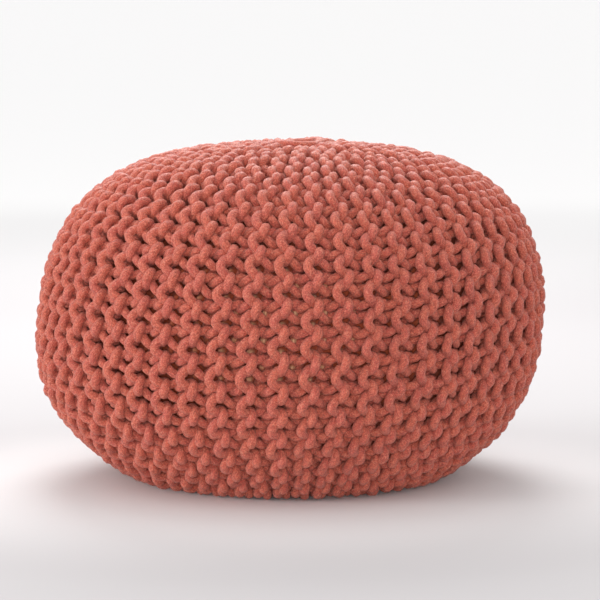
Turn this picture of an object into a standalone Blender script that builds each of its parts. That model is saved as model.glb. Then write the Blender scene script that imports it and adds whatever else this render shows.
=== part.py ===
# Knitted pouf: a filled cover, knitted sideways in garter stitch from thick cord, so that its
# ribs run from the gathered top to the gathered foot. Metres, +Z up, standing on z = 0, with the
# origin under the middle of the belly. The front faces -Y.
import math

import bmesh
import bpy
import numpy as np

# Driving dimensions of the cover.
BELLY_RADIUS = 0.254        # widest radius, over the ribs
HEIGHT = 0.336              # floor to crown
BELLY_HEIGHT = 0.143        # height of the widest ring
FLOOR_PRESS = 0.033         # how much of the round underside the floor presses flat
CROWN_POWER = 2.80          # superellipse power above the belly: 2 is an ellipse, 4 nearly a box
FOOT_POWER = 2.11           # the same below the belly

# The knitting.
RIB_COUNT = 54
STITCH = 0.027              # length of one stitch along a rib
FIRST_STITCH = 0.036        # along the surface, from the top's centre to the first stitch
RIB_DEPTH = 0.009           # crest to valley where the ribs stand widest apart
RIB_DEPTH_SHARE = 0.42      # the most the depth may be, as a share of the ribs' spacing
RIB_SWAY = 0.11             # sideways step of the crest at each half stitch, in rib spacings
RIB_TURN = math.radians(1.43)   # turns the ribs round Z

# The drawn-in ends.
DIMPLE_RADIUS = 0.030       # flat floor of the dimple at either end
TOP_DIMPLE_DEPTH = 0.006
FOOT_DIMPLE_DEPTH = 0.011
FOOT_DIMPLE_RIM = 0.042     # radius where the underside turns up into its dimple
CORD_RADIUS = 0.0045        # the knitting cord
TOP_RING_RADIUS = 0.021     # centre line of the gather cords
FOOT_RING_RADIUS = 0.020
GAP = 0.0003                # between touching pieces

# Unevenness: the crown leans to +X and the whole is slightly lumpy.
LEAN_HEIGHT = 0.165         # height where the lean is nil
LEAN_REACH = 0.170          # height above that at which the three terms are full
LEAN_TERMS = (0.0099, 0.0039, -0.0049)     # first, second and third power of the height
LUMP = 0.0016               # size of the lumps
WANDER = math.radians(0.5)  # how far a rib strays from its even place

COVER_COLOUR = (0.43, 0.093, 0.060, 1.0)
CORD_COLOUR = (0.46, 0.105, 0.068, 1.0)


def quarter_outline(radius, height, power, samples=400):
    """Quarter of a superellipse from its top (0, height) to its side (radius, 0)."""
    t = np.linspace(0.0, math.pi / 2, samples)
    return np.column_stack((radius * np.sin(t) ** (2 / power),
                            height * np.cos(t) ** (2 / power)))


def cover_outline():
    """The cover's side as (radius, height) points from the crown's centre to the floor."""
    crown = quarter_outline(BELLY_RADIUS, HEIGHT - BELLY_HEIGHT, CROWN_POWER)
    foot = quarter_outline(BELLY_RADIUS, BELLY_HEIGHT + FLOOR_PRESS, FOOT_POWER)[::-1]
    crown[:, 1] += BELLY_HEIGHT
    foot[:, 1] = BELLY_HEIGHT - foot[:, 1]
    above_floor = foot[foot[:, 1] > 0.0]
    rim = np.interp(0.0, -foot[:, 1], foot[:, 0])
    return np.vstack((crown, above_floor[1:], [(rim, 0.0)]))


def cover_rings():
    """Rings from the top's centre to the foot's: rows of radius, height, slope and rib depth.

    A ring lies at every half stitch. The slope is that of the outline, as the (radius, height)
    parts of its outward normal, and the rib depth follows the ribs' spacing.
    """
    outline = cover_outline()
    steps = np.linalg.norm(np.diff(outline, axis=0), axis=1)
    along = np.concatenate(([0.0], np.cumsum(steps)))
    tangent = np.gradient(outline, along, axis=0)
    stations = np.append(np.arange(FIRST_STITCH, along[-1] - STITCH / 4, STITCH / 2), along[-1])
    radius, height = (np.interp(stations, along, outline[:, i]) for i in (0, 1))
    normal_out = -np.interp(stations, along, tangent[:, 1])
    normal_up = np.interp(stations, along, tangent[:, 0])
    normal_out[-1], normal_up[-1] = 1.0, 0.0          # the rim on the floor draws straight in
    spacing = 2 * math.pi * radius / RIB_COUNT
    depth = np.minimum(RIB_DEPTH, RIB_DEPTH_SHARE * spacing)
    side = np.column_stack((radius, height, normal_out, normal_up, depth))
    dimple = HEIGHT - TOP_DIMPLE_DEPTH
    top = [(0.0, dimple, 0.0, 1.0, 0.0), (DIMPLE_RADIUS, dimple, 0.0, 1.0, 0.0)]
    foot = [(FOOT_DIMPLE_RIM, 0.0, 0.0, -1.0, 0.0),
            (DIMPLE_RADIUS, FOOT_DIMPLE_DEPTH, 0.0, -1.0, 0.0),
            (0.0, FOOT_DIMPLE_DEPTH, 0.0, -1.0, 0.0)]
    return np.vstack((top, side, foot))


def lean(height):
    """Sideways shift of the cover at a height: a cubic through nil at LEAN_HEIGHT."""
    t = (height - LEAN_HEIGHT) / LEAN_REACH
    first, second, third = LEAN_TERMS
    return first * t + second * t ** 2 + third * t ** 3


def cover_points(sphere_points, rings):
    """Moves a UV sphere's points to the cover: each parallel becomes one of the rings."""
    x, y, z = sphere_points.T
    ring_index = np.rint(np.arccos(np.clip(z, -1.0, 1.0)) / math.pi * (len(rings) - 1)).astype(int)
    radius, height, normal_out, normal_up, depth = rings[ring_index].T
    angle = np.arctan2(y, x)
    sector = np.rint(angle / (math.pi / RIB_COUNT)).astype(int)
    valley = sector % 2 == 1
    step = np.where(ring_index % 2 == 0, 1.0, -1.0)
    sway = np.where(valley, 0.4, 1.0) * RIB_SWAY * step * (2 * math.pi / RIB_COUNT)
    sway = np.where(depth > 0.0, sway, 0.0)
    stray = WANDER * (0.6 * np.sin(5 * angle + 1.0) + 0.4 * np.sin(11 * angle + 14 * height))
    turned = angle + RIB_TURN + sway + stray
    swell = LUMP * (0.5 * np.sin(3 * angle + 9 * height + 0.4)
                    + 0.3 * np.sin(7 * angle - 21 * height)
                    + 0.2 * np.sin(4 * angle + 40 * height + 2.0))
    inward = np.where(valley, depth, 0.0) - np.where(depth > 0.0, swell, 0.0)
    radius = radius - inward * normal_out
    height = np.maximum(height - inward * normal_up, 0.0)
    return np.column_stack((radius * np.cos(turned) + lean(height), radius * np.sin(turned), height))


def material(name, colour, roughness):
    cloth = bpy.data.materials.new(name)
    cloth.use_nodes = True
    shader = cloth.node_tree.nodes["Principled BSDF"]
    shader.inputs["Base Color"].default_value = colour
    shader.inputs["Roughness"].default_value = roughness
    return cloth


def finished(mesh, name, collection, cloth):
    """Puts a mesh in the part's collection under its node's name, smooth, with its material."""
    mesh.materials.append(cloth)
    mesh.shade_smooth()
    mesh.set_sharp_from_angle(angle=math.radians(70))
    thing = bpy.data.objects.new(name, mesh)
    collection.objects.link(thing)
    return thing


def knit_cover(collection):
    """The filled cover: a sphere's parallels and meridians laid out as stitches and ribs.

    Returns the middle of its footprint before it was moved to the origin.
    """
    rings = cover_rings()
    shape = bmesh.new()
    bmesh.ops.create_uvsphere(shape, u_segments=2 * RIB_COUNT, v_segments=len(rings) - 1, radius=1.0)
    points = cover_points(np.array([v.co[:] for v in shape.verts]), rings)
    lowest, highest = points.min(axis=0), points.max(axis=0)
    centre = np.array([(lowest[0] + highest[0]) / 2, (lowest[1] + highest[1]) / 2, 0.0])
    for vertex, point in zip(shape.verts, points - centre):
        vertex.co = point
    mesh = bpy.data.meshes.new("knit_cover")
    shape.to_mesh(mesh)
    shape.free()
    finished(mesh, "knit_cover", collection, material("cotton_cord_knit", COVER_COLOUR, 0.9))
    return centre


def gather_cord(name, collection, ring_radius, centre):
    """A ring of the knitting cord, drawn round one end of the cover."""
    bpy.ops.mesh.primitive_torus_add(major_segments=28, minor_segments=8,
                                     major_radius=ring_radius, minor_radius=CORD_RADIUS)
    ring = bpy.context.object
    mesh = ring.data.copy()
    bpy.data.objects.remove(ring)
    mesh.name = name
    cord = finished(mesh, name, collection, material(name + "_cotton", CORD_COLOUR, 0.9))
    cord.location = centre


def build():
    for thing in list(bpy.data.objects):
        bpy.data.objects.remove(thing)
    pouf = bpy.data.collections.new("knitted_pouf")
    bpy.context.scene.collection.children.link(pouf)
    centre = knit_cover(pouf)
    top_floor = HEIGHT - TOP_DIMPLE_DEPTH
    gather_cord("gather_cord_top", pouf, TOP_RING_RADIUS,
                (lean(top_floor) - centre[0], -centre[1], top_floor + GAP + CORD_RADIUS))
    gather_cord("gather_cord_bottom", pouf, FOOT_RING_RADIUS,
                (lean(0.0) - centre[0], -centre[1], FOOT_DIMPLE_DEPTH - GAP - CORD_RADIUS))


build()
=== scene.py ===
# Knitted pouf: thick spun cotton cord in garter stitch, drawn over a plain inner bag.
# Metres, +Z up, the front faces -Y. Every stitch is real cord, laid over the frame's cover.
import math

import bpy
import numpy as np
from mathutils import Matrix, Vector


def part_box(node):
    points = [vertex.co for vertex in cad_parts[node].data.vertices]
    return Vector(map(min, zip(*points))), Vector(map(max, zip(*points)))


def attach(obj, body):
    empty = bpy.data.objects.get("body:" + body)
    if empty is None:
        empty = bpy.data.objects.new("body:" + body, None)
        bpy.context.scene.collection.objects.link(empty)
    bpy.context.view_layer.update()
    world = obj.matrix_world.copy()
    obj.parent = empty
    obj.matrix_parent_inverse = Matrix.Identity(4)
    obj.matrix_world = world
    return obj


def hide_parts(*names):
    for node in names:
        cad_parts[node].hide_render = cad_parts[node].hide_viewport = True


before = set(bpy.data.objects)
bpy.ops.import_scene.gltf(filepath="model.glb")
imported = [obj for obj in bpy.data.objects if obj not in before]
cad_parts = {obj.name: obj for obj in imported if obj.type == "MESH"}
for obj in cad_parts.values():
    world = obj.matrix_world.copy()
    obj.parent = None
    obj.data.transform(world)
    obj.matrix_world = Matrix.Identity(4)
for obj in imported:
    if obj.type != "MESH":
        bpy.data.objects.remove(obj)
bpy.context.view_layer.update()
coverLow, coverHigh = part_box("knit_cover")
print("frame loaded, cover", [round(high - low, 4) for low, high in zip(coverLow, coverHigh)])

# The pouf's form: two superellipse halves meeting at the belly, pressed flat by the floor.
pouf = {
    "bellyRadius": (coverHigh[0] - coverLow[0]) / 2 - 0.0008,   # both less the lumps' share
    "height": coverHigh[2] - 0.0006,
    "bellyHeight": 0.143,
    "floorPress": 0.033,        # how much of the round underside is pressed flat
    "crownPower": 2.80,         # 2 is an ellipse, more is squarer
    "footPower": 2.11,
    "outlineStep": 0.001,
    "edgeRound": 0.006,         # spread of the rounding where the foot meets the floor
    "dimpleDepth": 0.006,       # drawn-in ends
    "dimpleRadius": 0.042,
    "leanHeight": 0.165,        # where the sideways lean is nil
    "leanReach": 0.170,         # height over that at which its three terms are full
    "leanTerms": (0.0099, 0.0039, -0.0049),
    "lump": 0.0016,             # size of the low swellings
    # each swelling's share, waves round the pouf, radians a metre up it, and phase
    "lumps": ((0.5, 3, 9, 0.4), (0.3, 7, -21, 0.0), (0.2, 4, 40, 2.0)),
    "lumpsFrom": (0.03, 0.05),  # height and radius below which they fade out
    "floorGap": 0.0004,         # cord stays this far above the floor
}

# The knitting: ribs run from pole to pole, a stitch repeats every stitchLength along a rib.
knit = {
    "ribCount": 54,
    "firstRib": math.radians(-91.9),    # angle of rib 0 round Z, -90 degrees faces the camera
    "stitchLength": 0.027,
    "firstStitch": 0.011,               # along the surface from the crown's centre
    "cordRadius": 0.0045,
    "legThinning": 0.00020,             # the cord is stretched thinner in its legs
    "thickFrom": 0.007,                 # distance from the knit's middle where it is thickest
    "squash": 0.0056,                   # how near two cords' centres come where they press
    "sides": 8,                         # round the cord
    "ringsPerStitch": 22,
    "frontRings": 2.5,                  # more rings in front of the knit's middle, for each behind
    "frontDepth": 6.0,                  # millimetres behind the middle where they start to rise
    "goreCount": 6,
    "ribPitches": (0.0290, 0.0240, 0.0190, 0.0140),     # rib spacings at which a stitch is settled
    # where each rib of a group of six begins, from either end's centre, as in short-row knitting
    "ribStarts": (0.017, 0.104, 0.058, 0.036, 0.124, 0.080),
    "widening": 0.045,                  # length over which a new rib takes its full width
    "startWidth": 0.45,                 # its share of that width where it begins
    "startJitter": 0.005,               # how far a start strays, but for the ribs that start first
    "jitterFrom": 0.03,
    "turnReach": 1.6,                   # how far a row's turn swings out, in gaps between its ends
    "loose": (0.0005, 0.0005, 0.0003),  # how far single stitches stray across, down and out
    "endClear": 0.004,                  # no cord nearer than this to either end's centre
    "leastRadius": 0.02,                # below which straying turns no further
    "leastDepth": 0.0030,               # no cord's centre nearer the cover's surface
}

# A rib is two rows of loops. Each list is one stitch of a row, its points given one by one: across
# the rib, down the rib and out of the surface, in millimetres at the widest rib spacing.
frontLoop = [           # its head is the bow at the front, its foot lies at the back
    (-6.2, -2.2, 7.8),
    (-6.1, 0.5, 7.8),
    (-4.6, 3.0, 7.2),
    (-1.8, 5.2, 5.2),
    (1.6, 7.8, 1.6),        # passes under the next row's foot
    (5.0, 10.2, -0.6),
    (8.6, 9.8, -1.0),       # lower leg, in the valley between two ribs
    (12.2, 8.0, -1.6),
    (15.8, 7.2, -3.6),
    (18.6, 9.4, -6.4),
    (19.6, 15.5, -8.2),     # foot
    (18.8, 21.6, -7.6),
    (17.2, 25.2, -4.8),
    (14.2, 25.6, -1.0),     # upper leg
    (10.8, 22.9, 1.2),
    (7.6, 20.4, 1.4),
    (4.2, 18.4, 0.8),
    (0.6, 18.6, 3.0),
    (-3.0, 20.4, 6.2),
    (-5.4, 22.6, 7.6),
]
backLoop = [            # its head lies at the back, its foot is the slanting bar at the front
    (-20.2, 6.0, -9.6),
    (-18.6, 10.8, -8.3),
    (-15.6, 13.0, -4.6),
    (-12.0, 12.6, -0.2),    # lower leg, in the valley on the rib's other side
    (-8.0, 10.8, 2.0),
    (-4.0, 8.6, 0.6),
    (-1.0, 7.2, -1.0),
    (1.9, 7.2, 0.8),
    (4.5, 8.8, 5.0),
    (5.4, 11.2, 7.6),
    (4.7, 13.8, 8.3),       # foot
    (3.5, 16.2, 7.3),
    (1.8, 18.2, 4.4),
    (-0.8, 19.8, 0.6),
    (-4.2, 20.8, -1.6),     # upper leg
    (-8.0, 21.8, -3.8),
    (-12.0, 24.0, -6.2),
    (-16.0, 27.2, -8.5),
]

rng = np.random.default_rng(31)


def smoothStep(t):
    # 3t^2 - 2t^3, held at 0 and 1 outside.
    t = np.clip(t, 0.0, 1.0)
    return t * t * (3 - 2 * t)


def outlineCurve():
    # Side of the cover, r = R sin(t)^(2/p) and z = zb + h cos(t)^(2/p) above and below the belly,
    # then the flat foot. Resampled every millimetre and blurred, which rounds the floor edge.
    # Each end dips by d (1 + cos(pi r / dimpleRadius)) / 2. Returns s, r, z and the normal's r, z.
    t = np.linspace(0.0, math.pi / 2, 500)
    p, q = 2 / pouf["crownPower"], 2 / pouf["footPower"]
    rise, drop = pouf["height"] - pouf["bellyHeight"], pouf["bellyHeight"] + pouf["floorPress"]
    crown = np.column_stack((pouf["bellyRadius"] * np.sin(t) ** p,
                             pouf["bellyHeight"] + rise * np.cos(t) ** p))
    foot = np.column_stack((pouf["bellyRadius"] * np.cos(t) ** q,
                            pouf["bellyHeight"] - drop * np.sin(t) ** q))
    rim = np.interp(0.0, -foot[:, 1], foot[:, 0])
    foot = foot[foot[:, 1] > 0.0]
    side = np.vstack((crown, foot[1:], [(rim, 0.0)], [(0.0, 0.0)]))
    along = np.concatenate(([0.0], np.cumsum(np.linalg.norm(np.diff(side, axis=0), axis=1))))
    stations = np.arange(0.0, along[-1], pouf["outlineStep"])
    r, z = (np.interp(stations, along, side[:, i]) for i in (0, 1))
    reach = int(3 * pouf["edgeRound"] / pouf["outlineStep"])
    steps = np.arange(-reach, reach + 1) * pouf["outlineStep"]
    kernel = np.exp(-0.5 * (steps / pouf["edgeRound"]) ** 2)
    kernel /= kernel.sum()
    r = np.convolve(np.concatenate((-r[reach:0:-1], r, -r[-2:-reach - 2:-1])), kernel, "valid")
    z = np.convolve(np.pad(z, reach, mode="reflect"), kernel, "valid")
    dip = pouf["dimpleDepth"] * (1 + np.cos(math.pi * np.clip(r / pouf["dimpleRadius"], -1, 1))) / 2
    z = z - dip * np.sign(z - pouf["bellyHeight"])
    slopeR, slopeZ = np.gradient(r, stations), np.gradient(z, stations)
    size = np.hypot(slopeR, slopeZ)
    return stations, r, z, -slopeZ / size, slopeR / size


outline = outlineCurve()
sideLength = outline[0][-1]
print("side of the cover, centre to centre", round(float(sideLength), 4))


def lean(height):
    # Sideways shift a t + b t^2 + c t^3, with t the height over leanHeight in leanReaches.
    t = (height - pouf["leanHeight"]) / pouf["leanReach"]
    a, b, c = pouf["leanTerms"]
    return a * t + b * t ** 2 + c * t ** 3


def coverPoint(s, angle, lift):
    # Point over the cover: (r(s) + lift n_r, z(s) + lift n_z) turned to its angle round Z, plus
    # low swellings sin(m angle + n z + phase), plus the lean. s runs from crown to foot centre.
    stations, r, z, nr, nz = outline
    nr, nz = np.interp(s, stations, nr), np.interp(s, stations, nz)
    r, z = np.interp(s, stations, r), np.interp(s, stations, z)
    swell = pouf["lump"] * sum(share * np.sin(turns * angle + up * z + phase)
                               for share, turns, up, phase in pouf["lumps"])
    low, narrow = pouf["lumpsFrom"]
    lift = lift + swell * np.clip(z / low, 0, 1) * np.clip(r / narrow, 0, 1)
    radius, height = r + lift * nr, z + lift * nz
    place = np.stack((radius * np.cos(angle) + lean(height), radius * np.sin(angle), height), -1)
    normal = np.stack((nr * np.cos(angle), nr * np.sin(angle), nz), -1)
    return place, normal


def curveThrough(points, step, t):
    # Catmull-Rom curve through points that repeat every step, read at t in points:
    # (2 p1 + (p2-p0) f + (2 p0 - 5 p1 + 4 p2 - p3) f^2 + (3 p1 - p0 - 3 p2 + p3) f^3) / 2.
    knots = np.vstack((points[-1:] - step, points, points[:2] + step))
    i = t.astype(int)
    f = (t - i)[:, None]
    p0, p1, p2, p3 = (knots[i + k] for k in range(4))
    return 0.5 * (2 * p1 + (p2 - p0) * f + (2 * p0 - 5 * p1 + 4 * p2 - p3) * f ** 2
                  + (3 * p1 - p0 - 3 * p2 + p3) * f ** 3)


def evenCurve(points, step, samples):
    # The curve through points at even steps of its own length, and that length.
    points = np.array(points)
    curve = curveThrough(points, step, np.arange(0, len(points), 1 / 60))
    curve = np.vstack((curve, curve[:1] + step))
    along = np.concatenate(([0.0], np.cumsum(np.linalg.norm(np.diff(curve, axis=0), axis=1))))
    even = np.linspace(0.0, along[-1], samples, endpoint=False)
    return np.column_stack([np.interp(even, along, curve[:, i]) for i in range(3)]), along[-1]


# How the listed stitch settles into real cord, by shares taken each round.
settle = {
    "samples": 40,
    "rounds": 260,
    "even": 0.5,            # of each length's error
    "smooth": 0.018,        # of each bend's change
    "hold": 0.19,           # of the way back to the listed start
    "part": 0.4,            # of the overlap between two cords
    "ownCord": 1.2,         # points this near along one cord don't push, in squashes
}


def settledRows(ribPitch):
    # Both rows of a rib at one rib spacing, as (row, sample, across/down/out). Points nearer than
    # the squash to any other cord are pushed apart, while lengths stay even, bends smooth and the
    # whole near its listed start. The ribs beside it and the stitches above and below are
    # the same two curves, moved.
    samples = settle["samples"]
    pitch, touch, down = (v * 1000 for v in (ribPitch, knit["squash"], knit["stitchLength"]))
    step = np.array((0.0, down, 0.0))
    narrow = (ribPitch / knit["ribPitches"][0], 1, 1)
    curves = [evenCurve(np.array(row) * narrow, step, samples) for row in (frontLoop, backLoop)]
    start = np.concatenate([curve for curve, _ in curves])
    spacing = np.repeat([length / samples for _, length in curves], samples)[:, None]
    row, place = np.repeat((0, 1), samples), np.tile(np.arange(samples), 2)
    ribs, stitches = (v.ravel() for v in np.meshgrid(np.arange(-2, 3), np.arange(-2, 3)))
    apart = np.abs(place[:, None, None] - place[None, None, :] - stitches[None, :, None] * samples)
    sameCord = (row[:, None, None] == row) & (ribs == 0)[None, :, None]
    beside = apart * spacing[:, :, None] < settle["ownCord"] * touch
    ownCord = (sameCord & beside).reshape(2 * samples, -1)

    def turned(values, count, jump):
        # Moves values along each row, adding a stitch where they come round its end.
        moved = np.roll(values.reshape(2, samples, 3), count, 1)
        moved[:, -1 if count < 0 else 0] += jump
        return moved.reshape(-1, 3)

    x = start.copy()
    for _ in range(settle["rounds"]):
        ahead = turned(x, -1, step) - x
        error = 1 - spacing / np.linalg.norm(ahead, axis=1, keepdims=True)
        pull = settle["even"] * error * ahead
        x = x + pull - turned(pull, 1, 0)
        bend = turned(x, -1, step) + turned(x, 1, -step) - 2 * x
        x = x - settle["smooth"] * (turned(bend, -1, 0) + turned(bend, 1, 0) - 2 * bend)
        x = x + settle["hold"] * (start - x)
        others = x + np.stack((ribs * pitch, stitches * down, 0 * ribs), -1)[:, None]
        gap = x[:, None] - others.reshape(1, -1, 3)
        distance = np.linalg.norm(gap, axis=2) + 1e-6
        near = (distance < touch) & ~ownCord
        push = (np.where(near, touch - distance, 0)[..., None] * gap / distance[..., None]).sum(1)
        x = x + settle["part"] * push / np.maximum(near.sum(1, keepdims=True), 1)
    return x.reshape(2, samples, 3)


def ringPlaces(row, rings):
    # Where along a row its rings lie: 3.5 times as close at the front as at the hidden back, by a
    # smooth step of the height out of the cover.
    density = 1 + knit["frontRings"] * smoothStep(row[:, 2] / knit["frontDepth"] + 1)
    share = np.concatenate(([0.0], np.cumsum(density))) / density.sum()
    return np.interp(np.arange(rings) / rings, share, np.arange(len(row) + 1))


def settledStitches():
    # The two rows at each rib spacing, (spacing, row, ring, across/down/out), with across in rib
    # spacings, down in stitches and out in metres.
    step = np.array((0.0, knit["stitchLength"] * 1000, 0.0))
    settled = [settledRows(pitch) for pitch in knit["ribPitches"]]
    places = [ringPlaces(row, knit["ringsPerStitch"]) for row in settled[0]]
    rows = [[curveThrough(row, step, t) for row, t in zip(rows, places)] for rows in settled]
    unit = [(1000 * pitch, 1000 * knit["stitchLength"], 1000) for pitch in knit["ribPitches"]]
    return np.array(rows) / np.array(unit)[:, None, None]


stitches = settledStitches()
crests = stitches[..., 2].max((1, 2)) + knit["cordRadius"]
print("stitch settled at", len(stitches), "rib spacings, half thickness", np.round(crests, 4))


def ribWidths(s, starts):
    # Share of the round that each rib takes at s: a smooth step of (distance from the nearer end
    # - its start) / widening + startWidth.
    fromEnd = np.minimum(s, sideLength - s)[None, :]
    return smoothStep((fromEnd - starts[:, None]) / knit["widening"] + knit["startWidth"])


def eachRibStart():
    # Start of each rib: six lengths in turn, each moved a little.
    count, jitter = knit["ribCount"], knit["startJitter"]
    base = np.tile(knit["ribStarts"], count // len(knit["ribStarts"]))
    return base + rng.uniform(-jitter, jitter, count) * (base > knit["jitterFrom"])


ribStart = eachRibStart()
ribStations = np.linspace(0.0, sideLength, 400)
widthTable = ribWidths(ribStations, ribStart)
shareTable = 2 * math.pi * widthTable / widthTable.sum(0)
angleTable = knit["firstRib"] + np.cumsum(shareTable, 0) - shareTable / 2
angleTable -= angleTable[0, len(ribStations) // 2] - knit["firstRib"]     # rib 0's, at mid side


def waves(count, length, amount):
    # Random plane waves over the cover: whole turns round Z, turns down the side, phase and size.
    # The turns are normally spread, two thirds of 2 pi / length wide, so few waves are shorter.
    turns = rng.normal(0, 2 * math.pi * pouf["bellyRadius"] / length / 1.5, count).round()
    return (turns, rng.normal(0, 2 * math.pi / length / 1.5, count),
            rng.uniform(0, 2 * math.pi, count), amount * rng.uniform(0.5, 1.0, count))


# How neighbouring stitches stray together: count, length and size of the waves, in metres.
strayWaves = {
    "across": ((7, 0.09, 0.00050), (7, 0.045, 0.00034)),
    "down": ((7, 0.11, 0.00070), (7, 0.045, 0.00040)),
    "out": ((6, 0.06, 0.00035), (6, 0.030, 0.00020)),
}
strays = {way: np.concatenate([waves(*kind) for kind in kinds], 1)
          for way, kinds in strayWaves.items()}


def stray(way, angle, s):
    # Sum of a sin(m angle + n s + phase) over one set of waves.
    turns, slope, phase, size = strays[way]
    return (size * np.sin(np.multiply.outer(angle, turns) + np.multiply.outer(s, slope)
                          + phase)).sum(-1)


def looseness(size, count):
    # A random value for each stitch, joined by smooth steps so that the cord never kinks.
    knots = rng.normal(0, size, count + 2)

    def at(t):
        i = np.floor(t).astype(int)
        return knots[i] + (knots[i + 1] - knots[i]) * smoothStep(t - i)

    return at


def bridge(before, after, count=6):
    # Cord turning from one row into the next, the cubic Hermite curve (2 t^3 - 3 t^2 + 1) p0
    # + (t^3 - 2 t^2 + t) m0 + (3 t^2 - 2 t^3) p1 + (t^3 - t^2) m1, with m0 and m1 the ends' ways.
    p0, p1 = before[-1], after[0]
    reach = knit["turnReach"] * np.linalg.norm(p1 - p0)
    m0 = (before[-1] - before[-2]) / np.linalg.norm(before[-1] - before[-2]) * reach
    m1 = (after[1] - after[0]) / np.linalg.norm(after[1] - after[0]) * reach
    t = np.linspace(0, 1, count + 2)[1:-1, None]
    return ((2 * t ** 3 - 3 * t ** 2 + 1) * p0 + (t ** 3 - 2 * t ** 2 + t) * m0
            + (3 * t ** 2 - 2 * t ** 3) * p1 + (t ** 3 - t ** 2) * m1)


def rowPath(rib, row, first, last):
    # One row of one rib, the settled stitch repeated down it: s = first stitch + (number + down)
    # x length, angle = the rib's + across x its share of the round, lift = out - crest, each plus
    # its strays. The settled shapes are mixed by the rib spacing.
    rings = knit["ringsPerStitch"]
    number = np.repeat(np.arange(first, last), rings)
    ring = np.tile(np.arange(rings), last - first)
    s = knit["firstStitch"] + knit["stitchLength"] * (number + stitches[0, row, ring, 1])
    share = np.interp(s, ribStations, shareTable[rib])
    spacing = share * np.interp(s, outline[0], outline[1])
    pitches = np.array(knit["ribPitches"])
    mix = np.interp(spacing, pitches[::-1], np.arange(len(pitches))[::-1])
    wider = np.clip(mix.astype(int), 0, len(pitches) - 2)
    part = (mix - wider)[:, None]
    shape = stitches[wider, row, ring] * (1 - part) + stitches[wider + 1, row, ring] * part
    across, down, out = shape.T
    loose = [looseness(size, last - first)(number - first + ring / rings)
             for size in knit["loose"]]
    s = knit["firstStitch"] + knit["stitchLength"] * (number + down) + loose[1]
    angle = np.interp(s, ribStations, angleTable[rib]) + across * share
    radius = np.maximum(np.interp(s, outline[0], outline[1]), knit["leastRadius"])
    angle = angle + (stray("across", angle, s) + loose[0]) / radius
    s = np.clip(s + stray("down", angle, s), knit["endClear"], sideLength - knit["endClear"])
    crest = np.interp(mix, np.arange(len(pitches)), crests)
    lift = out - crest + stray("out", angle, s) + loose[2]
    return s, angle, np.minimum(lift, -knit["leastDepth"]), out


def cordRadiusAt(out):
    # r - d cos(pi |out| / thickFrom): thinnest in the legs, thickest at heads and feet.
    share = np.clip(abs(out) / knit["thickFrom"], 0, 1)
    return knit["cordRadius"] - knit["legThinning"] * np.cos(math.pi * share)


def ribCord(rib):
    # Closed run of cord for one rib: down its front row, a turn, back up the other, and a turn.
    start = ribStart[rib]
    first = int(math.ceil((start - knit["firstStitch"]) / knit["stitchLength"]))
    last = int(math.floor((sideLength - start - knit["firstStitch"]) / knit["stitchLength"]))
    down = rowPath(rib, 0, first, last)
    up = [v[::-1] for v in rowPath(rib, 1, first, last)]
    placeDown, normalDown = coverPoint(*down[:3])
    placeUp, normalUp = coverPoint(*up[:3])
    foot, head = bridge(placeDown, placeUp), bridge(placeUp, placeDown)
    path = np.vstack((placeDown, foot, placeUp, head))
    normal = np.vstack((normalDown, np.repeat(normalDown[-1:], len(foot), 0), normalUp,
                        np.repeat(normalUp[-1:], len(head), 0)))
    radius = np.concatenate((cordRadiusAt(down[3]), np.full(len(foot), knit["cordRadius"]),
                             cordRadiusAt(up[3]), np.full(len(head), knit["cordRadius"])))
    return path, normal, radius


def tubeGrid(path, normal, radius, sides):
    # Tube round a closed path: path + r (cos a N + sin a B), N the surface's normal squared up
    # to the path and B across both. The seam a = 0 faces inwards. Kept above the floor.
    ahead = np.roll(path, -1, 0) - np.roll(path, 1, 0)
    ahead /= np.linalg.norm(ahead, axis=1, keepdims=True)
    out = normal - ahead * (normal * ahead).sum(1, keepdims=True)
    out /= np.linalg.norm(out, axis=1, keepdims=True)
    across = np.cross(ahead, out)
    a = 2 * math.pi * np.arange(sides) / sides + math.pi
    grid = path[:, None] + radius[:, None, None] * (np.cos(a)[None, :, None] * out[:, None]
                                                    + np.sin(a)[None, :, None] * across[:, None])
    grid[..., 2] = np.maximum(grid[..., 2], pouf["floorGap"])
    return grid


def gridFaces(rings, sides, closed=True):
    # Quads of a rings x sides grid that closes round its sides, and along its rings if closed.
    i, j = (v.ravel() for v in np.meshgrid(np.arange(rings if closed else rings - 1),
                                           np.arange(sides), indexing="ij"))
    i2, j2 = (i + 1) % rings, (j + 1) % sides
    quads = np.stack((i * sides + j, i * sides + j2, i2 * sides + j2, i2 * sides + j), -1)
    return quads, i, j


def meshPiece(name, points, faces, uvMaps=()):
    # A named object at the origin from points, a list of face arrays (quads, triangles) and UV
    # maps, each with the corners' UVs of every face array in turn.
    mesh = bpy.data.meshes.new(name)
    corners = np.concatenate([part.ravel() for part in faces])
    sizes = np.concatenate([np.full(len(part), part.shape[1]) for part in faces])
    mesh.vertices.add(len(points))
    mesh.vertices.foreach_set("co", points.astype(np.float32).ravel())
    mesh.loops.add(len(corners))
    mesh.loops.foreach_set("vertex_index", corners.astype(np.int32))
    mesh.polygons.add(len(sizes))
    mesh.polygons.foreach_set("loop_start", (np.cumsum(sizes) - sizes).astype(np.int32))
    for mapName, parts in uvMaps:
        layer = mesh.uv_layers.new(name=mapName)
        uv = np.concatenate([part.ravel() for part in parts])
        layer.data.foreach_set("uv", uv.astype(np.float32))
    mesh.update(calc_edges=True)
    mesh.validate()
    mesh.shade_smooth()
    piece = bpy.data.objects.new(name, mesh)
    bpy.context.scene.collection.objects.link(piece)
    return piece


def cornerUv(i, j, width, height):
    # UVs of a quad's four corners from its grid place: ((i, j), (i, j+1), (i+1, j+1), (i+1, j)).
    u = np.stack((i, i, i + 1, i + 1), -1) * width
    v = np.stack((j, j + 1, j + 1, j), -1) * height
    return np.stack((u, v), -1)


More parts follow.
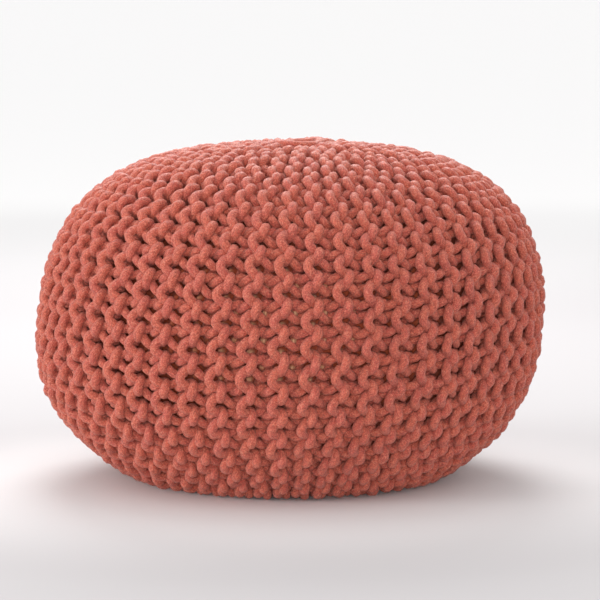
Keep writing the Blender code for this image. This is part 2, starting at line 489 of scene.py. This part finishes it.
def cordPiece(name, cords, sides):
    # Joins closed cords into one piece, with a "yarn" map in centimetres along and round the
    # cord, and an atlas that lays the cords in strips, each quad in its own place. The strips are
    # as many as make it about square: sqrt(rings x ring length / girth).
    points, quads, yarn, ringNumber, sideNumber = [], [], [], [], []
    girth, ringLength, margin = 2 * math.pi * knit["cordRadius"], 0.0044, 0.07
    offset = done = 0
    for path, normal, radius in cords:
        grid = tubeGrid(path, normal, radius, sides)
        face, i, j = gridFaces(len(path), sides)
        length = np.linalg.norm(np.roll(path, -1, 0) - path, axis=1)
        along = np.concatenate(([0.0], np.cumsum(length)))
        uv = cornerUv(i, j, 1.0, 1.0)
        uv[..., 0] = along[uv[..., 0].astype(int)] * 100
        uv[..., 1] *= girth / sides * 100
        points.append(grid.reshape(-1, 3))
        quads.append(face + offset)
        yarn.append(uv)
        ringNumber.append(i + done)
        sideNumber.append(j)
        offset += len(points[-1])
        done += len(path)
    i, j = np.concatenate(ringNumber), np.concatenate(sideNumber)
    strips = int(round(math.sqrt(done * ringLength / girth)))
    perStrip = math.ceil(done / strips)
    strip, place = i // perStrip, i % perStrip
    atlas = cornerUv(place, j, 1 / perStrip, (1 - 2 * margin) / sides / strips)
    atlas[..., 1] += ((strip + margin) / strips)[:, None]
    return meshPiece(name, np.vstack(points), [np.vstack(quads)],
                     (("yarn", yarn), ("OFBake", [atlas])))


def linear(hexColour):
    # sRGB hex to linear: c / 12.92 below 0.04045, else ((c + 0.055) / 1.055)^2.4.
    parts = [int(hexColour[i:i + 2], 16) / 255 for i in (1, 3, 5)]
    return tuple(c / 12.92 if c <= 0.04045 else ((c + 0.055) / 1.055) ** 2.4
                 for c in parts) + (1.0,)


def addNode(material, kind, links=None, **settings):
    # A node of one kind; settings are properties or input values, links go from other sockets.
    # Of a colour mix, inputs 6 and 7 are its two colours and output 2 is what it gives.
    node = material.node_tree.nodes.new(kind)
    for name, value in settings.items():
        if hasattr(node, name):
            setattr(node, name, value)
        else:
            node.inputs[name.replace("_", " ")].default_value = value
    for name, socket in (links or {}).items():
        material.node_tree.links.new(socket, node.inputs[name])
    return node


def newMaterial(name):
    # A material with nodes, and its shader.
    material = bpy.data.materials.new(name)
    material.use_nodes = True
    return material, material.node_tree.nodes["Principled BSDF"]


def bandScale(pitch):
    # A wave texture's bands repeat every 2 pi / (20 scale).
    return 2 * math.pi / (20 * pitch)


cordFinish = {
    "colour": "#C15139",        # muted coral red, as dyed
    "pinkFleck": "#B9463B",     # fibres that took more of the dye's red
    "warmFleck": "#E09176",     # fibres that took less dye
    "deepFleck": "#661B0E",     # gaps between fibres
    "sheenTint": "#FFF0E6",
    "sheen": 0.17,
    "sheenSpread": 0.7,
    "roughness": 0.52,
    "gloss": 0.30,
    "twist": math.radians(38),
    "plyPitch": 0.21,           # centimetres between plies, a little coarser than real, to show
    "fibreSize": (0.30, 0.09),  # centimetres along and across the twist, of bundled fibres
    "fleckScale": 720.0,        # cells a metre: 1.4 mm, and down to 0.2 mm in its finest detail
    "lumpScale": 190.0,         # 5 mm, slubs in the cord
    "patchScale": 60.0,         # 17 mm, where the dye took unevenly
}


def cottonCord():
    # Spun cotton cord, dyed: matt, with faint plies and bundles of fibre that wind round it at a
    # slant, mottled by fibres that took more or less dye, lumpy, and with a light bloom of fuzz
    # where it turns away. Real fibres are too fine to show, so bundles of them are drawn.
    material, shader = newMaterial("spun cotton cord")
    links = material.node_tree.links
    uv = addNode(material, "ShaderNodeUVMap", uv_map="yarn")
    coordinates = addNode(material, "ShaderNodeTexCoord")
    turn = (0, 0, cordFinish["twist"])
    long, thin = cordFinish["fibreSize"]
    fibreSpace = addNode(material, "ShaderNodeMapping", {"Vector": uv.outputs["UV"]},
                         vector_type="TEXTURE", Rotation=turn, Scale=(long, thin, 1))
    plySpace = addNode(material, "ShaderNodeMapping", {"Vector": uv.outputs["UV"]},
                       vector_type="TEXTURE", Rotation=turn)
    fibre = addNode(material, "ShaderNodeTexNoise", {"Vector": fibreSpace.outputs["Vector"]},
                    Scale=1.0, Detail=3.0, Roughness=0.6)
    ply = addNode(material, "ShaderNodeTexWave", {"Vector": plySpace.outputs["Vector"]},
                  bands_direction="Y", Scale=bandScale(cordFinish["plyPitch"]),
                  Distortion=3.0, Detail=2.0, Detail_Scale=2.5)
    fleck = addNode(material, "ShaderNodeTexNoise", {"Vector": coordinates.outputs["Object"]},
                    Scale=cordFinish["fleckScale"], Detail=3.0, Roughness=0.75)
    lump = addNode(material, "ShaderNodeTexNoise", {"Vector": coordinates.outputs["Object"]},
                   Scale=cordFinish["lumpScale"], Detail=2.0)
    patch = addNode(material, "ShaderNodeTexNoise", {"Vector": coordinates.outputs["Object"]},
                    Scale=cordFinish["patchScale"], Detail=2.0)
    # each tone's texture, the values between which it comes in, and its most
    tones = ((patch, "pinkFleck", 0.42, 0.62, 0.60), (fleck, "warmFleck", 0.50, 0.64, 0.66),
             (fleck, "deepFleck", 0.48, 0.37, 0.55), (fibre, "deepFleck", 0.52, 0.36, 0.50))
    colour = None
    for texture, tone, fromValue, toValue, most in tones:
        share = addNode(material, "ShaderNodeMapRange", {"Value": texture.outputs["Fac"]},
                        From_Min=fromValue, From_Max=toValue, To_Max=most)
        mix = addNode(material, "ShaderNodeMix", {"Factor": share.outputs["Result"]},
                      data_type="RGBA")
        if colour is None:
            mix.inputs[6].default_value = linear(cordFinish["colour"])
        else:
            links.new(colour, mix.inputs[6])
        mix.inputs[7].default_value = linear(cordFinish[tone])
        colour = mix.outputs[2]
    links.new(colour, shader.inputs["Base Color"])
    normal = None
    # each bump's texture, strength and depth in metres
    for texture, strength, depth in ((ply, 0.20, 0.0006), (fibre, 0.8, 0.0010),
                                     (fleck, 0.9, 0.0012), (lump, 0.7, 0.0018)):
        bump = addNode(material, "ShaderNodeBump", {"Height": texture.outputs["Fac"]},
                       Strength=strength, Distance=depth)
        if normal is not None:
            links.new(normal, bump.inputs["Normal"])
        normal = bump.outputs["Normal"]
    links.new(normal, shader.inputs["Normal"])
    shader.inputs["Roughness"].default_value = cordFinish["roughness"]
    shader.inputs["Specular IOR Level"].default_value = cordFinish["gloss"]
    shader.inputs["Sheen Weight"].default_value = cordFinish["sheen"]
    shader.inputs["Sheen Roughness"].default_value = cordFinish["sheenSpread"]
    shader.inputs["Sheen Tint"].default_value = linear(cordFinish["sheenTint"])
    return material


bagFinish = {
    "colour": "#C4906F",
    "thread": "#9E7152",        # the shaded threads between
    "paintedShade": "#9A4020",          # painted shade, dark red-brown, on the cloth between the puffs, where the holes lie in shadow
    "paintedShadeEdge": (0.28, 0.68),   # heights of a puff between which the painted shade gives way to the cloth's own colour
    "threadPitch": 0.0069115,   # far coarser than the real 0.5 mm weave, so that it shows
    "roughness": 0.9,
    "sheen": 0.15,
}


def bagCloth():
    # Plain woven cotton, undyed tan and matt: threads that cross, warp x weft, each a wave. Painted
    # shade darkens it between the puffs; only the puffs' tops, where its "puff" attribute is high,
    # keep the cloth's own colour.
    material, shader = newMaterial("plain cotton bag cloth")
    links = material.node_tree.links
    uv = addNode(material, "ShaderNodeUVMap", uv_map="cloth")
    scale = bandScale(bagFinish["threadPitch"])
    warp = addNode(material, "ShaderNodeTexWave", {"Vector": uv.outputs["UV"]},
                   bands_direction="X", Scale=scale, Distortion=0.6)
    weft = addNode(material, "ShaderNodeTexWave", {"Vector": uv.outputs["UV"]},
                   bands_direction="Y", Scale=scale, Distortion=0.6)
    weave = addNode(material, "ShaderNodeMath", {0: warp.outputs["Fac"], 1: weft.outputs["Fac"]},
                    operation="MULTIPLY")
    mix = addNode(material, "ShaderNodeMix", {"Factor": weave.outputs["Value"]}, data_type="RGBA")
    mix.inputs[6].default_value = linear(bagFinish["thread"])
    mix.inputs[7].default_value = linear(bagFinish["colour"])
    # painted shade: the cloth is darkened between the puffs, where the holes lie in shadow
    puff = addNode(material, "ShaderNodeAttribute", attribute_name="puff")
    fullShade, unshaded = bagFinish["paintedShadeEdge"]
    share = addNode(material, "ShaderNodeMapRange", {"Value": puff.outputs["Fac"]},
                    From_Min=fullShade, From_Max=unshaded)
    cloth = addNode(material, "ShaderNodeMix",
                    {"Factor": share.outputs["Result"], 7: mix.outputs[2]}, data_type="RGBA")
    cloth.inputs[6].default_value = linear(bagFinish["paintedShade"])
    links.new(cloth.outputs[2], shader.inputs["Base Color"])
    bump = addNode(material, "ShaderNodeBump", {"Height": weave.outputs["Value"]},
                   Strength=0.4, Distance=0.0003)
    links.new(bump.outputs["Normal"], shader.inputs["Normal"])
    shader.inputs["Roughness"].default_value = bagFinish["roughness"]
    shader.inputs["Sheen Weight"].default_value = bagFinish["sheen"]
    return material


def declare(piece, material, slot, *nodes):
    # The piece's finish, the body that it rides on and the nodes that it stands for.
    piece.data.materials.append(material)
    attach(piece, "root")
    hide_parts(*nodes)


cord = cottonCord()


def buildCover():
    # The knitted cover in gores of nine ribs, moved so that its footprint is about the origin.
    perGore = knit["ribCount"] // knit["goreCount"]
    cords = [ribCord(rib) for rib in range(knit["ribCount"])]
    everything = np.vstack([path for path, _, _ in cords])
    middle = (everything.min(0) + everything.max(0)) / 2 * (1, 1, 0)
    triangles = 0
    for gore in range(knit["goreCount"]):
        runs = [(path - middle, normal, radius)
                for path, normal, radius in cords[gore * perGore:(gore + 1) * perGore]]
        piece = cordPiece("knit_gore_%d" % (gore + 1), runs, knit["sides"])
        declare(piece, cord, "cotton_cord_knit", "knit_cover")
        triangles += 2 * len(piece.data.polygons)
    print("cover knitted,", triangles, "triangles, middle", np.round(middle, 4))
    return middle


middle = buildCover()

bag = {
    "share": 0.885,         # of the cover's size, about the middle of its belly
    "bulge": 0.0150,        # how far it swells out through the holes between the stitches
    # two holes in each stitch: ribs across, stitches down, share of the bulge
    "holes": ((0.02, 0.01, 1.22), (0.44, 0.555, 0.88)),
    "puffTight": 3.4,       # more makes the puffs narrower
    "puffFlat": 1.8,        # more makes their tops flatter
    "tautAngle": math.radians(-88),     # it presses hardest at the front, where it faces forward
    "tautAt": 0.335,                    # down the side
    "tautSize": (0.50, 0.095),          # radians round, metres down
    "tautLift": 0.009,
    "crowding": 0.6,        # how much closer its columns lie there, below 1
    "around": 400,
    "down": 180,
}


def puffs(s, angle):
    # Swelling into the stitches' holes, the sum of size tanh(f exp(k (cos a + cos b - 2))) for
    # both, with a and b the place within a rib and a stitch, as angles from the hole's middle.
    column = (angle - knit["firstRib"]) * knit["ribCount"]
    line = 2 * math.pi * (s - knit["firstStitch"]) / knit["stitchLength"]
    total = 0.0
    for across, down, size in bag["holes"]:
        near = np.cos(column - 2 * math.pi * across) + np.cos(line - 2 * math.pi * down) - 2
        total = total + size * np.tanh(bag["puffFlat"] * np.exp(bag["puffTight"] * near))
    return total


def buildBag():
    # The filled inner bag: the cover's form made smaller, lifted along its normal where it is
    # drawn taut by exp(-x^2 - y^2), and there swelling into the stitches' holes. Its columns lie at
    # angle = t - c sin(t). The "puff" attribute keeps taut x swelling, which sets where its cloth
    # is painted in shade.
    around, rings = bag["around"], bag["down"] - 1
    t = 2 * math.pi * np.arange(around) / around
    columns = bag["tautAngle"] + t - bag["crowding"] * np.sin(t)
    stations = np.linspace(0.0, sideLength, bag["down"] + 1)
    s, angle = np.meshgrid(stations[1:-1], columns, indexing="ij")
    away = (np.angle(np.exp(1j * (angle - bag["tautAngle"]))) / bag["tautSize"][0]) ** 2
    taut = np.exp(-away - ((s - bag["tautAt"]) / bag["tautSize"][1]) ** 2)
    swell = taut * puffs(s, angle)
    skin, normal = coverPoint(s, angle, 0.0)
    poles, _ = coverPoint(stations[[0, -1]], np.zeros(2), 0.0)
    belly = np.array((0.0, 0.0, pouf["bellyHeight"]))
    lift = taut * bag["tautLift"] + swell * bag["bulge"]
    grid = (skin - belly) * bag["share"] + belly + normal * lift[..., None]
    poles = (poles - belly) * bag["share"] + belly
    points = np.vstack((grid.reshape(-1, 3), poles)) - middle
    quads, i, j = gridFaces(rings, around, closed=False)
    side, beside, last = np.arange(around), (np.arange(around) + 1) % around, (rings - 1) * around
    fans = [np.stack((side, beside, 0 * side + rings * around), -1),
            np.stack((beside + last, side + last, 0 * side + rings * around + 1), -1)]
    fanUv = []
    for start, end, rows in ((0, 1, (1, 1, 0)), (1, 0, (rings, rings, rings + 1))):
        across = np.stack((side + start, side + end, side + 0.5), -1)
        fanUv.append(np.stack((np.tile(rows, (around, 1)), across), -1))
    uv = [cornerUv(i + 1, j, 1.0, 1.0)[:, ::-1]] + fanUv
    cell = (sideLength / bag["down"], 2 * math.pi * pouf["bellyRadius"] / around)
    maps = (("cloth", [part * cell for part in uv]),
            ("OFBake", [part / (bag["down"], around) for part in uv]))
    piece = meshPiece("inner_bag", points, [quads[:, ::-1]] + fans, maps)
    puff = piece.data.attributes.new("puff", "FLOAT", "POINT")
    puff.data.foreach_set("value", np.append(swell, (0, 0)).astype(np.float32))
    declare(piece, bagCloth(), "inner_bag", "knit_cover")


buildBag()
print("inner bag filled")

gather = {
    "topRadius": 0.0205,
    "topHeight": 0.0032,        # cord's centre line under the crown
    "topWobble": 0.0012,        # how unevenly it lies
    "footRadius": 0.0190,
    "footHeight": 0.0056,
    "footWobble": 0.0004,
    "cordRadius": 0.0044,
    "tied": ((0.5, 0.35, 1.0), (3.3, 0.25, 0.8)),   # angle, spread and size of its ties' humps
    "rings": 72,
    "sides": 11,
}


def gatherCord(name, node, radius, height, wobble):
    # The cord drawn through the edge stitches: a ring r + w (0.7 sin(2a + 0.7) + 0.4 sin(5a)), at
    # height z + w (0.6 sin(2a) + 1.6 hump), its humps exp(-((a - tied) / spread)^2).
    a = 2 * math.pi * np.arange(gather["rings"]) / gather["rings"]
    ring = radius + wobble * (0.7 * np.sin(2 * a + 0.7) + 0.4 * np.sin(5 * a))
    hump = sum(size * np.exp(-((a - at) / spread) ** 2) for at, spread, size in gather["tied"])
    z = height + wobble * (0.6 * np.sin(2 * a) + 1.6 * hump)
    path = np.column_stack((ring * np.cos(a) + lean(height), ring * np.sin(a), z))
    normal = np.tile((0.0, 0.0, 1.0), (len(a), 1))
    thickness = gather["cordRadius"] * (1 + 0.05 * np.sin(5 * a))
    piece = cordPiece(name, [(path - middle, normal, thickness)], gather["sides"])
    declare(piece, cord, "gather_cord", node)


gatherCord("top_gather", "gather_cord_top", gather["topRadius"],
           pouf["height"] - gather["topHeight"], gather["topWobble"])
gatherCord("foot_gather", "gather_cord_bottom", gather["footRadius"],
           gather["footHeight"], gather["footWobble"])
print("gather cords drawn")

stage = {
    # the floor's grey near the pouf; towards the back it is painted lighter, as light would fall
    # there
    "nearFloor": "#B2AFB0",
    "farFloorPaintedLight": "#F9F8F8",
    "farFrom": (1.3, 3.6),      # metres behind the pouf over which one turns into the other
    "paintedLightPool": "#EFEDED",          # painted pool of light close about the pouf, which lightens the shadow it casts on the floor
    "paintedLightAt": (-0.02, -0.086, 0),
    "paintedLightSize": (0.505, 0.458, 1),      # its half width and half depth
    "paintedLightCore": 0.05,           # share of that from which it fades
    "roughness": 0.8,
    "floorHalf": 40.0,
    "sky": "#FFFFFF",
    "skyStrength": 1.0,
}


def buildFloor():
    # A wide matt sweep, its colour painted with light: a painted pool of light about the pouf that
    # lightens its shadow, and painted light that makes it lighter again towards the back. Both fade
    # by smooth steps, the pool's of its ellipse's sqrt((x / a)^2 + (y / b)^2).
    half = stage["floorHalf"]
    corners = np.array([(-half, -half, 0), (half, -half, 0), (half, half, 0), (-half, half, 0)])
    floor = meshPiece("floor", corners, [np.array([[0, 1, 2, 3]])])
    material, shader = newMaterial("matt painted floor")
    coordinates = addNode(material, "ShaderNodeTexCoord")
    parts = addNode(material, "ShaderNodeSeparateXYZ", {"Vector": coordinates.outputs["Object"]})
    # painted light: the floor turns lighter towards the back
    begins, ends = stage["farFrom"]
    blend = addNode(material, "ShaderNodeMapRange", {"Value": parts.outputs["Y"]},
                    interpolation_type="SMOOTHSTEP", From_Min=begins, From_Max=ends)
    # painted pool of light about the pouf, lightening its shadow on the floor
    paintedLightPool = addNode(material, "ShaderNodeMapping", {"Vector": coordinates.outputs["Object"]},
                   vector_type="TEXTURE", Location=stage["paintedLightAt"], Scale=stage["paintedLightSize"])
    reach = addNode(material, "ShaderNodeVectorMath", {0: paintedLightPool.outputs["Vector"]},
                    operation="LENGTH")
    rim = addNode(material, "ShaderNodeMapRange", {"Value": reach.outputs["Value"]},
                  interpolation_type="SMOOTHSTEP", From_Min=stage["paintedLightCore"], From_Max=1.0)
    near = addNode(material, "ShaderNodeMix", {"Factor": rim.outputs["Result"]}, data_type="RGBA")
    near.inputs[6].default_value = linear(stage["paintedLightPool"])
    near.inputs[7].default_value = linear(stage["nearFloor"])
    mix = addNode(material, "ShaderNodeMix",
                  {"Factor": blend.outputs["Result"], 6: near.outputs[2]}, data_type="RGBA")
    mix.inputs[7].default_value = linear(stage["farFloorPaintedLight"])
    material.node_tree.links.new(mix.outputs[2], shader.inputs["Base Color"])
    shader.inputs["Roughness"].default_value = stage["roughness"]
    floor.data.materials.append(material)


# Large soft lights, white: place, aim, width in metres and power in watts.
lights = {
    "over and behind": ((-0.15, 1.6, 1.6), (0, 0, 0.2), 1.4, 36),
    "overhead": ((0, 0.4, 1.9), (0, 0, 0.2), 1.2, 9),
    "left fill": ((-3.9, -1.3, 0.62), (0, 0, 0.15), 1.1, 88),
    "front fill": ((0, -4.6, 0.7), (0, 0, 0.15), 1.2, 74),
}


def softLight(name, place, aim, size, power):
    # A round lamp that faces its aim: tipped by acos(-z / length), then turned round Z towards it.
    lamp = bpy.data.lights.new(name, "AREA")
    lamp.shape = "DISK"
    lamp.size = size
    lamp.energy = power
    thing = bpy.data.objects.new(name, lamp)
    direction = np.array(aim) - np.array(place)
    thing.location = place
    thing.rotation_euler = (math.acos(-direction[2] / np.linalg.norm(direction)), 0,
                            math.atan2(direction[0], -direction[1]) + math.pi)
    bpy.context.scene.collection.objects.link(thing)


camera = {
    "distance": 3.048,
    "elevation": math.radians(6.5),
    "lens": 182.1,              # millimetres on a 36 mm sensor
    "aimRight": 0.0105,         # the object stands left of and below the picture's middle
    "aimUp": 0.0082,
}


def buildCamera():
    # The camera looks along +Y and down by its elevation e, at the cover's middle and a little to
    # the side: it stands at aim + distance (0, -cos e, sin e).
    lens = bpy.data.cameras.new("camera")
    lens.lens = camera["lens"]
    lens.clip_end = 200
    thing = bpy.data.objects.new("camera", lens)
    e = camera["elevation"]
    target = np.array((camera["aimRight"], 0.0, pouf["height"] / 2 + camera["aimUp"]))
    thing.location = target + camera["distance"] * np.array((0.0, -math.cos(e), math.sin(e)))
    thing.rotation_euler = (math.pi / 2 - e, 0, 0)
    bpy.context.scene.collection.objects.link(thing)
    bpy.context.scene.camera = thing


def buildWorld():
    # Even white light from all round.
    world = bpy.data.worlds.new("studio")
    bpy.context.scene.world = world
    world.use_nodes = True
    background = world.node_tree.nodes["Background"]
    background.inputs["Color"].default_value = linear(stage["sky"])
    background.inputs["Strength"].default_value = stage["skyStrength"]


buildFloor()
for name, light in lights.items():
    softLight(name, *light)
buildCamera()
buildWorld()
bpy.context.scene.view_settings.view_transform = "Standard"
print("stage, lights and camera set")
